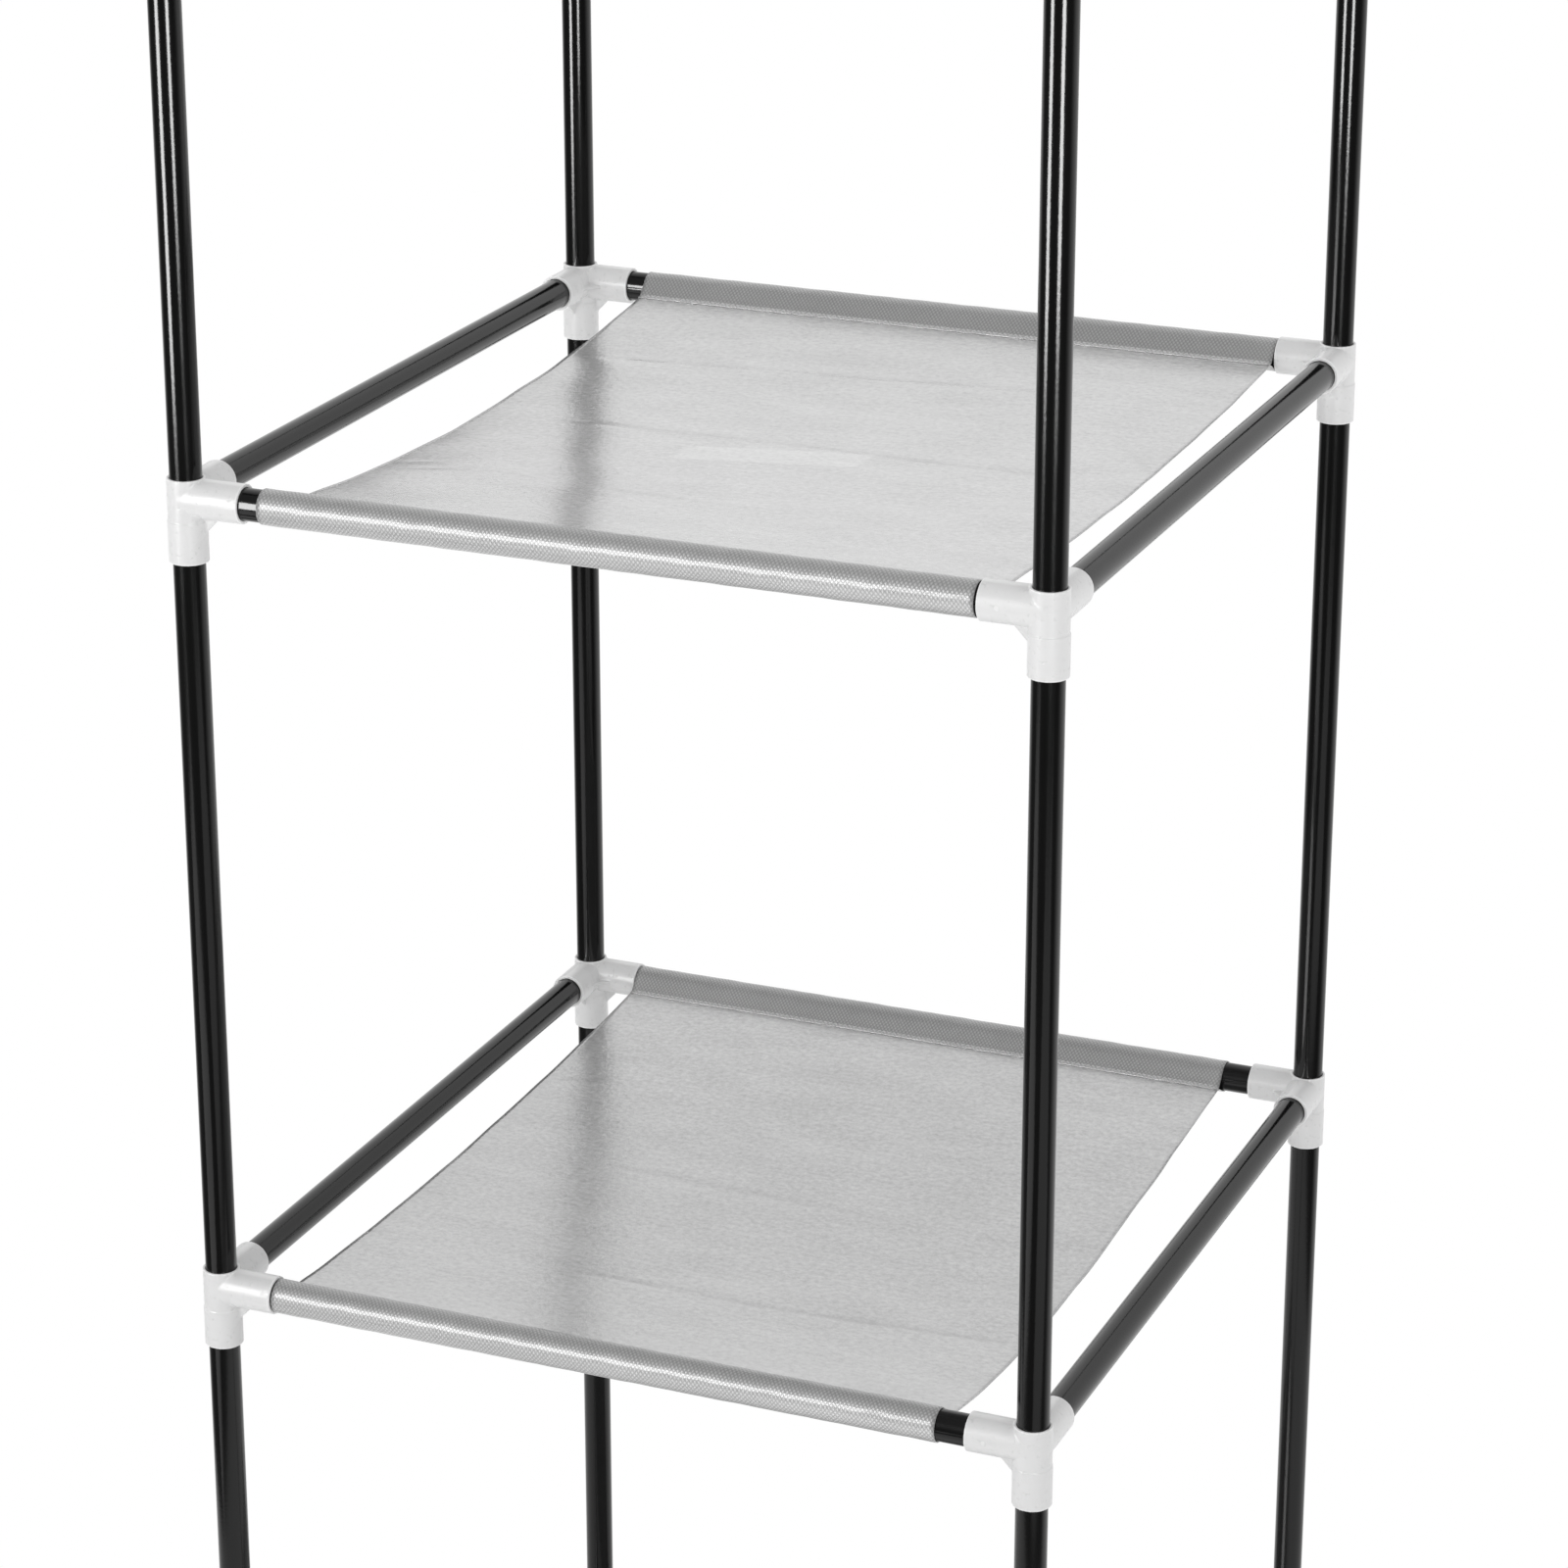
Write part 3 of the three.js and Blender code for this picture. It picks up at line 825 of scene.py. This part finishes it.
# %% The middle line of the cloth
def sleeve_line():
    """From the hem's edge over the rail and under it to the seam, as (inboard, up)."""
    turn = np.linspace(UPPER_TANGENT, LOWER_TANGENT, 400)
    ring = np.stack([np.cos(turn), np.sin(turn)], 1) * SLEEVE
    hem = [(HEM, FLAP), (SEAM, FLAP + 0.12), (BEND, FLAP + 1.2)]
    line = np.concatenate([hem, ring, [(SEAM, PANEL), (SEAM + 4, PANEL)]])
    place = np.concatenate([[0], np.cumsum(np.hypot(*np.diff(line, axis=0).T))])
    even = np.arange(0, place[-1], 0.1)
    line = np.stack([np.interp(even, place, line[:, a]) for a in (0, 1)], 1)
    window = 9
    padded = np.pad(line, ((window, window), (0, 0)), mode="reflect", reflect_type="odd")
    kernel = np.ones(2 * window + 1) / (2 * window + 1)
    soft = np.stack([np.convolve(padded[:, a], kernel, "valid") for a in (0, 1)], 1)
    ends = np.argmax((soft[:, 0] > SEAM - 1e-3) & (np.arange(len(soft)) > len(soft) // 2))
    rows = np.round(np.linspace(0, ends, 46)).astype(int)
    return soft[rows], even[rows]


def waves(x, seed, lengths):
    """A slow random wave between about -1 and 1, the same each time."""
    chance = np.random.default_rng(seed)
    total = sum(np.sin(x * 2 * math.pi / length + chance.uniform(0, 6.28)) for length in lengths)
    return total / (0.8 * len(lengths))


def smooth_step(value):
    value = np.clip(value, 0, 1)
    return value * value * (3 - 2 * value)


def pressed(x, y, line, depth, width, tilt):
    """A crease: a narrow valley along a line, with the cloth behind it tilted a little."""
    xs, ys = np.array(line, float).T
    away = y - np.interp(x, xs, ys)
    fade = smooth_step((x - xs[0]) / 18 + 0.5) * smooth_step((xs[-1] - x) / 18 + 0.5)
    fade = fade * (0.72 + 0.28 * np.sin(x / 13.0 + ys[0]) * np.sin(x / 31.0 + xs[0]))
    valley = fade * np.exp(-(away / width) ** 2)
    slope = tilt * away * np.exp(-np.abs(away) / 14) * 0.1 * fade
    return slope - depth * valley, valley


SLEEVE_LINE, SLEEVE_ALONG = sleeve_line()
print("rows in a sleeve:", len(SLEEVE_LINE), "length:", round(SLEEVE_ALONG[-1], 1), "mm")


# %% Lay one sheet
def middle_sheet(shelf):
    """Middle of the sheet as a grid: columns along X, rows along the cut, in millimetres."""
    inner = POST_Y - SEAM
    panel_y = np.linspace(-inner, inner, 190)[1:-1]
    line_y = np.concatenate([-POST_Y + SLEEVE_LINE[:, 0], panel_y, POST_Y - SLEEVE_LINE[::-1, 0]])
    line_z = np.concatenate([SLEEVE_LINE[:, 1], np.full(len(panel_y), PANEL), SLEEVE_LINE[::-1, 1]])
    steps = np.hypot(np.diff(line_y), np.diff(line_z))
    cut = np.concatenate([[0], np.cumsum(steps)])
    x = shelf["middle"] + np.linspace(-0.5, 0.5, 151) * shelf["width"]
    x, y = np.meshgrid(x, line_y, indexing="ij")
    z = np.broadcast_to(line_z, y.shape).copy()
    share = (x - shelf["middle"]) / shelf["width"] + 0.5
    sag, lean = (left + (right - left) * share for left, right in (shelf["sag"], shelf["lean"]))
    across = np.clip(0.5 + y / inner / 2, 0, 1)
    z -= sag * 4 * across * (1 - across) * (1 + lean * (1 - 2 * across))
    return x, y, z, cut, share, across


def worked_sheet(shelf):
    """The middle sheet with its creases, puckers and slack, and masks for painted shade, painted
    hem light and a pale patch.
    """
    x, y, z, cut, share, across = middle_sheet(shelf)
    seed, free = shelf["seed"], (across > 0) & (across < 1)
    from_end, from_side = np.minimum(across, 1 - across), np.minimum(share, 1 - share)
    inside = smooth_step(from_end * 24) * free
    # This crease mask also paints shade: the smooth face is coloured darker along each crease.
    crease = np.zeros_like(x)
    for line, depth, width, tilt in shelf["creases"]:
        height, valley = pressed(x, y, line, depth, width, tilt)
        z += height * inside
        crease = np.maximum(crease, valley * inside * min(1, depth / 0.3))
    slow = waves(x + 0.2 * y, seed, (170, 97)) * waves(y - 0.1 * x, seed + 1, (140, 83))
    z += 0.25 * slow * inside
    flutter = smooth_step(1 - from_side * 14)
    z += 0.3 * flutter * waves(y, seed + 2, (88, 57, 130)) * inside
    from_seam = from_end * 2 * (POST_Y - SEAM) / 3.0
    pucker = 1 + 0.4 * waves(x, seed + 3, (9.3, 6.1, 13.7))
    z += 0.30 * from_seam * np.exp(1 - from_seam) * free * pucker
    out_y = y - np.sign(y) * POST_Y
    round_rail = (~free) & (np.abs(y) > POST_Y - 7)
    swell = 0.10 * waves(x + 14 * np.arctan2(z, out_y), seed + 4, (47, 29, 18)) * round_rail
    swell = swell / np.maximum(np.hypot(out_y, z), 1)
    y, z = y + out_y * swell, z + z * swell
    trim = smooth_step(1 - from_side * 60) * np.sign(share - 0.5)
    x = x + trim * (0.08 * waves(cut, seed + 5, (90, 53, 31)) - 0.08)
    short_left, short_right = shelf.get("short", (0, 0))
    front_sleeve = smooth_step((SLEEVE_ALONG[-1] + 6 - cut) / 8)
    x = x + front_sleeve * (short_left * smooth_step(1 - share * 30)
                            - short_right * smooth_step(share * 30 - 29))
    # Painted shade: both finishes are coloured darker within about 2.6 mm of the side edges.
    edge = np.clip(1 - from_side * shelf["width"] / 2.6, 0, 1)
    # Painted light: the hem flap, which faces up, is coloured paler on the embossed back.
    hem = np.broadcast_to(smooth_step((3.2 - np.minimum(cut, cut[-1] - cut)) / 0.9), x.shape)
    patch = np.zeros_like(x)
    if "patch" in shelf:
        left, left_y, right, right_y, deep = shelf["patch"]
        top = np.interp(x, (left, right), (left_y, right_y)) + 1.5
        patch = (smooth_step((x - left) / 2) * smooth_step((right - x) / 2)
                 * smooth_step((top - y) / 2) * smooth_step((y - top + deep) / 2) * free)
    return np.stack([x, y, z], -1), cut, crease, edge, (patch, hem)


# %% Give the sheet its thickness and finishes
def cloth_piece(name, shelf):
    middle, cut, crease, edge, pale = worked_sheet(shelf)
    middle[..., 2] += LEVELS[shelf["level"]]
    columns, rows = middle.shape[:2]
    normal = np.cross(np.gradient(middle, axis=0), np.gradient(middle, axis=1))
    normal /= np.linalg.norm(normal, axis=-1)[..., None]
    points = np.concatenate([(middle + normal * CLOTH / 2).reshape(-1, 3),
                             (middle - normal * CLOTH / 2).reshape(-1, 3)])
    index = np.arange(columns * rows).reshape(columns, rows)
    quads = np.stack([index[:-1, :-1], index[1:, :-1], index[1:, 1:], index[:-1, 1:]], -1)
    quads = quads.reshape(-1, 4)
    rim = np.concatenate([index[:, 0], index[-1, 1:], index[-2::-1, -1], index[0, -2:0:-1]])
    over = np.roll(rim, -1)
    half = columns * rows
    sides = np.stack([rim, rim + half, over + half, over], -1)
    faces = np.concatenate([quads, quads[:, ::-1] + half, sides])
    piece = mesh_object(name, points, faces, FACE)
    mesh = piece.data
    mesh.materials.append(BACK)
    mesh.polygons.foreach_set("material_index", np.repeat(
        [0, 1, 0], [len(quads), len(quads), len(sides)]))
    flat = np.stack(np.broadcast_arrays(middle[..., 0], cut, 0.0), -1).reshape(-1, 3) * MM
    store(mesh, "cloth_place", np.tile(flat, (2, 1)))
    marks = {"crease": (crease, crease), "cut_edge_shade": (edge, edge), "pale": pale}
    for label, (top, bottom) in marks.items():
        store(mesh, label, np.append(top, bottom))
    return piece, middle, cut[-1]


# %% [markdown]
# ## The stitches
#
# A lockstitch leaves a dash of pale thread every three millimetres on both sides of the cloth.
# More than a thousand dashes is work for Geometry Nodes: the tree walks along the seam, sets a
# small rounded dash at each step, turns it along the seam and varies its size a little.

# %% A tree that sews along a line
def sewing_growth():
    grow = Growth("row of stitches")
    pitch, length, thread = map(grow.input, ("Pitch", "Stitch length", "Thread radius"))
    seed, finish = grow.input("Seed", "Int"), grow.input("Finish", "Material")
    seam = grow.node("GeometryNodeMeshToCurve", inputs={"Mesh": grow.group_in.outputs[0]})
    steps = grow.node("GeometryNodeResampleCurve", inputs={
        "Curve": seam, "Length": pitch}, mode="LENGTH")
    dash = grow.node("GeometryNodeMeshUVSphere", inputs={"Segments": 7, "Rings": 5, "Radius": 1.0})
    half = grow.math("MULTIPLY", length, 0.5)
    size = grow.node("ShaderNodeCombineXYZ", inputs={0: half, 1: thread, 2: thread})
    dash = grow.node("GeometryNodeTransform", inputs={"Geometry": dash, "Scale": size})
    along = grow.node("GeometryNodeInputTangent")
    turn = grow.node("FunctionNodeAlignRotationToVector", inputs={"Vector": along}, axis="X")
    chance = grow.node("FunctionNodeRandomValue", 1, inputs={2: 0.86, 3: 1.1, "Seed": seed},
                       data_type="FLOAT")
    dashes = grow.node("GeometryNodeInstanceOnPoints", inputs={
        "Points": steps, "Instance": dash, "Rotation": turn, "Scale": chance})
    dashes = grow.node("GeometryNodeRealizeInstances", inputs={"Geometry": dashes})
    grow.end(grow.node("GeometryNodeSetShadeSmooth", inputs={
        "Geometry": dashes, "Shade Smooth": True}), finish)
    return grow


def sewing_thread():
    thread = Finish("pale sewing thread", Roughness=0.55, IOR=1.5, Sheen_Weight=0.3)
    place = thread.node("ShaderNodeTexCoord", "Object")
    ply = thread.noise(place, 3500, 1.0)
    thread.use(Base_Color=thread.grey(0.64 + 0.2 * ply), Normal=thread.bump(ply, 0.00005))
    return thread.material


SEWING, THREAD = sewing_growth(), sewing_thread()
print("stitches ready")


# %% Hang the shelves and sew their seams
THREAD_LIFT = 0.10    # from the cloth's skin to the thread's middle


def seam_lines(name, middle):
    """Edges that run along both seams, over and under the cloth, in metres."""
    rows = len(SLEEVE_LINE)
    flap = int(np.argmin(np.abs(SLEEVE_LINE[:8, 0] - SEAM - 0.2)))
    lines = []
    for row, side in ((flap, 1), (-1 - flap, 1), (rows, -1), (-1 - rows, -1)):
        line = middle[2:-2, row].copy()
        line[:, 2] += (CLOTH / 2 + THREAD_LIFT) * side
        lines.append(line)
    count = len(lines[0])
    edges = [(n * count + i, n * count + i + 1) for n in range(4) for i in range(count - 1)]
    mesh = bpy.data.meshes.new(name)
    mesh.from_pydata((np.concatenate(lines) * MM).tolist(), edges, [])
    return mesh


for node, shelf in SHELVES.items():
    sheet, middle, cut_length = cloth_piece("slung_" + node, shelf)
    stitches = grown("stitches_" + node, SEWING, {
        "Pitch": 3.0 * MM, "Stitch length": 2.5 * MM, "Thread radius": 0.28 * MM,
        "Seed": shelf["seed"], "Finish": THREAD}, seam_lines("seam " + node, middle))
    seat(sheet, shelf["body"], "grey_fabric", node)
    seat(stitches, shelf["body"], "grey_fabric")
    print(node, "cut", round(cut_length, 1), "mm, volume and open edges", solid_volume(sheet),
          "stitch faces", len(stitches.data.polygons))

# %% [markdown]
# ## The studio
#
# The picture's background is plain white, so the world and the outer floor are white to the
# camera. In gloss they are white too, but the world in front is dim, or the black tubes would
# look grey. The light that falls on the wardrobe comes from a dimmer world and a few lamps. Close
# to the feet the floor is a real matt floor that takes the shadow. Two tall lamps in front, seen
# only in gloss, draw the two thin lines down the posts and the bright band on the bare ends of
# the cross rails, and they put a soft shine on the connectors. They leave out the fabric, because
# it would throw them back as glare towards a viewer behind. Two weak lamps at floor height stand
# for a lit floor in the tubes' gloss. Another lamp draws the band along the sleeves, and a card
# low in front lifts their undersides.

# %% World and floor
SKY_LIGHT, GROUND_LIGHT = 0.64, 1.25
FRONT_GLOSS, HIGH_FRONT_GLOSS = 0.12, 0.36
FLOOR_RADIUS, FLOOR_SIDES = 900.0, 64       # millimetres
SHADOW_START, SHADOW_FADE = 0.24, 0.16      # metres from the middle of the floor

scene.world = bpy.data.worlds.new("white studio")
scene.world.use_nodes = True
sky = scene.world.node_tree
background = sky.nodes["Background"].inputs
background["Color"].default_value = (1, 1, 1, 1)


def seen_by(tree, *kinds):
    """1 for these kinds of ray and 0 for the others."""
    rays = tree.nodes.new("ShaderNodeLightPath")
    total, *others = [rays.outputs[f"Is {kind} Ray"] for kind in kinds]
    for socket in others:
        total = add_node(tree, "ShaderNodeMath", {0: total, 1: socket},
                         operation="ADD", use_clamp=True).outputs[0]
    return total


def mapped(value, low, high, from_low=0.0, from_high=1.0):
    """A value of the sky, stretched to the range low to high: softly, unless it starts at 0."""
    limits = {"From Min": from_low, "From Max": from_high, "To Min": low, "To Max": high}
    return add_node(sky, "ShaderNodeMapRange", {"Value": value, **limits},
                    interpolation_type="SMOOTHSTEP" if from_low else "LINEAR").outputs[0]


place = sky.nodes.new("ShaderNodeTexCoord").outputs["Generated"]
direction = add_node(sky, "ShaderNodeSeparateXYZ", {0: place}).outputs
front = mapped(direction["Z"], FRONT_GLOSS, HIGH_FRONT_GLOSS, 0.1, 0.35)
gloss = mapped(direction["Y"], front, 1.0, -0.05, 0.6)
matt = mapped(direction["Z"], GROUND_LIGHT, SKY_LIGHT, -0.2, 0.2)
strength = mapped(seen_by(sky, "Glossy"), matt, gloss)
strength = mapped(seen_by(sky, "Camera", "Transmission"), strength, 1.0)
feed(sky, background["Strength"], strength)


def floor_finish():
    floor = Finish("white studio floor", Base_Color=(0.93, 0.93, 0.93, 1), Roughness=0.8,
                   Specular_IOR_Level=0.2)
    x, y, _ = floor.axes(floor.node("ShaderNodeTexCoord", "Object"))
    away = (x * x + y * y) ** 0.5
    share = ((away - SHADOW_START) / SHADOW_FADE).clamped()
    share = 0.35 + 0.65 * share * share * (3 - 2 * share)
    white = Field(floor, seen_by(floor.tree, "Camera", "Glossy", "Transmission"))
    glow = floor.tree.nodes.new("ShaderNodeEmission")
    mix = add_node(floor.tree, "ShaderNodeMixShader", {
        0: share * white, 1: floor.shader.outputs[0], 2: glow.outputs[0]})
    feed(floor.tree, floor.tree.nodes["Material Output"].inputs[0], mix.outputs[0])
    return floor.material


turns = np.linspace(0, 2 * math.pi, FLOOR_SIDES, endpoint=False)
rim = np.stack([np.cos(turns), np.sin(turns), 0 * turns], 1) * FLOOR_RADIUS
mesh_object("studio_floor", rim, [range(FLOOR_SIDES)], floor_finish())
print("light on matt surfaces:", SKY_LIGHT, "from above,", GROUND_LIGHT, "from below")


# %% Lamps
def lamp(name, azimuth, distance, height, size, radiance, aim=(0, 0, 0.85), glossy=True):
    """A rectangular lamp; azimuth 0 is in front, below 0 is to the left. Radiance 1 looks white."""
    angle = math.radians(azimuth)
    data = bpy.data.lights.new(name, "AREA")
    data.shape = "RECTANGLE"
    data.size, data.size_y = size
    data.energy = radiance * math.pi * size[0] * size[1]
    piece = linked(name, data)
    piece.location = (math.sin(angle) * distance, -math.cos(angle) * distance, height)
    piece.rotation_euler = (Vector(aim) - piece.location).to_track_quat("-Z", "Y").to_euler()
    piece.visible_camera, piece.visible_glossy = False, glossy
    return piece


lamp("overhead softbox", 0, 0.01, 3.4, (2.6, 2.6), 0.6, aim=(0, 0, 0), glossy=False)
lamp("front left softbox", -27, 3.2, 1.6, (1.3, 1.3), 2.6, glossy=False)
tube_lamps = [lamp("left strip", -32, 2.11, 1.02, (0.72, 1.20), 25.0, aim=(0, 0, 1.02)),
              lamp("right strip", 36.6, 2.51, 1.02, (0.75, 1.20), 28.0, aim=(0, 0, 1.02)),
              lamp("lit floor left", -31, 1.70, 0.0, (1.0, 1.3), 1.2, aim=(-0.88, -1.46, 1)),
              lamp("lit floor right", 48, 1.70, 0.0, (1.2, 1.3), 0.7, aim=(1.26, -1.14, 1))]
band_lamp = lamp("high front strip", -25, 2.35, 1.35, (0.95, 0.95), 10.0, aim=(0, 0, 0.9))
low_card = lamp("low front card", -8, 1.90, 0.01, (2.4, 1.5), 2.0, aim=(-0.264, -1.882, 1))
for strip in [*tube_lamps, band_lamp]:
    strip.visible_diffuse = False


def light_only(lamps, name, *finishes):
    """These lamps light only the pieces with one of these finishes."""
    lit = bpy.data.collections.new(name)
    for piece in scene.objects:
        if piece.type == "MESH" and any(finish in finishes for finish in piece.data.materials):
            lit.objects.link(piece)
    for piece in lamps:
        piece.light_linking.receiver_collection = lit


light_only(tube_lamps[:2], "tubes and plastic", BLACK, WHITE)
light_only(tube_lamps[2:], "tubes", BLACK)
light_only([band_lamp], "plastic and cloth", WHITE, BACK, THREAD)
light_only([low_card], "cloth", BACK)

# %% Finish
scene.view_settings.view_transform = "Standard"
